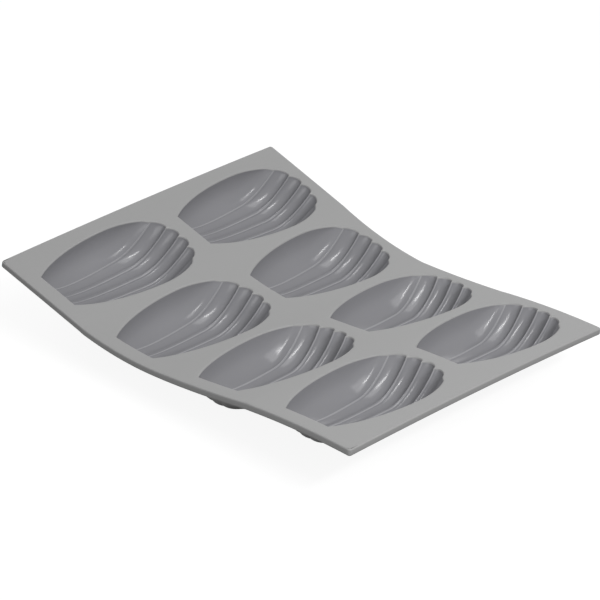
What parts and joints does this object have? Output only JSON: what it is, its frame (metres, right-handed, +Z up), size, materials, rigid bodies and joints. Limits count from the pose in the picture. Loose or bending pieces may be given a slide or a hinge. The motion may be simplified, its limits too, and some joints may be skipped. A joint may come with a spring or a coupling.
{
  "type": "madeleine mould",
  "caption": "Flexible silicone madeleine tray: ribbed shell cups hang under a thin deck that flexes along plain bands between the cup rows",
  "frame": {"origin": "middle of the tray's outline in plan, at the height of the lowest cup bottom", "axes": "+X along the tray from the raised end, +Y from the near edge to the far edge towards the scalloped ends of the cups, +Z up"},
  "size_m": [0.2102, 0.1762, 0.0441],
  "materials": {
    "deck": "satin",
    "rim": "satin",
    "web": "satin",
    "cup": "glossy"
  },
  "bodies": {
    "row_1": {"deck_1_near": "deck", "deck_1_far": "deck", "rim_1": "rim", "cup_1_near": "cup", "cup_1_far": "cup"},
    "row_2": {"deck_2_near": "deck", "deck_2_far": "deck", "rim_2_near": "rim", "rim_2_far": "rim", "cup_2_near": "cup", "cup_2_far": "cup", "web_1_2": "web", "web_2_3": "web"},
    "row_3": {"deck_3_near": "deck", "deck_3_far": "deck", "rim_3_near": "rim", "rim_3_far": "rim", "cup_3_near": "cup", "cup_3_far": "cup", "web_3_4": "web"},
    "row_4": {"deck_4_near": "deck", "deck_4_far": "deck", "rim_4": "rim", "cup_4_near": "cup", "cup_4_far": "cup"}
  },
  "joints": [
    {"name": "flex_1_2", "type": "hinge", "parent": "row_2", "child": "row_1", "pos_m": [-0.04964, 0.00001, 0.02353], "axis": [0.0092, 0.999, 0.0438], "range_deg": [-25, 60], "stiffness_Nm_per_rad": 0.2, "springref_deg": 2.01, "deforming": ["web_1_2"]},
    {"name": "flex_2_3", "type": "hinge", "parent": "row_2", "child": "row_3", "pos_m": [0.00002, -0.00003, 0.01668], "axis": [0, -1, 0.0069], "range_deg": [-25, 60], "stiffness_Nm_per_rad": 0.2, "deforming": ["web_2_3"]},
    {"name": "flex_3_4", "type": "hinge", "parent": "row_3", "child": "row_4", "pos_m": [0.04992, -0.00005, 0.0209], "axis": [-0.002, -0.9996, 0.0297], "range_deg": [-25, 60], "stiffness_Nm_per_rad": 0.2, "springref_deg": 2.01, "deforming": ["web_3_4"]}
  ]
}
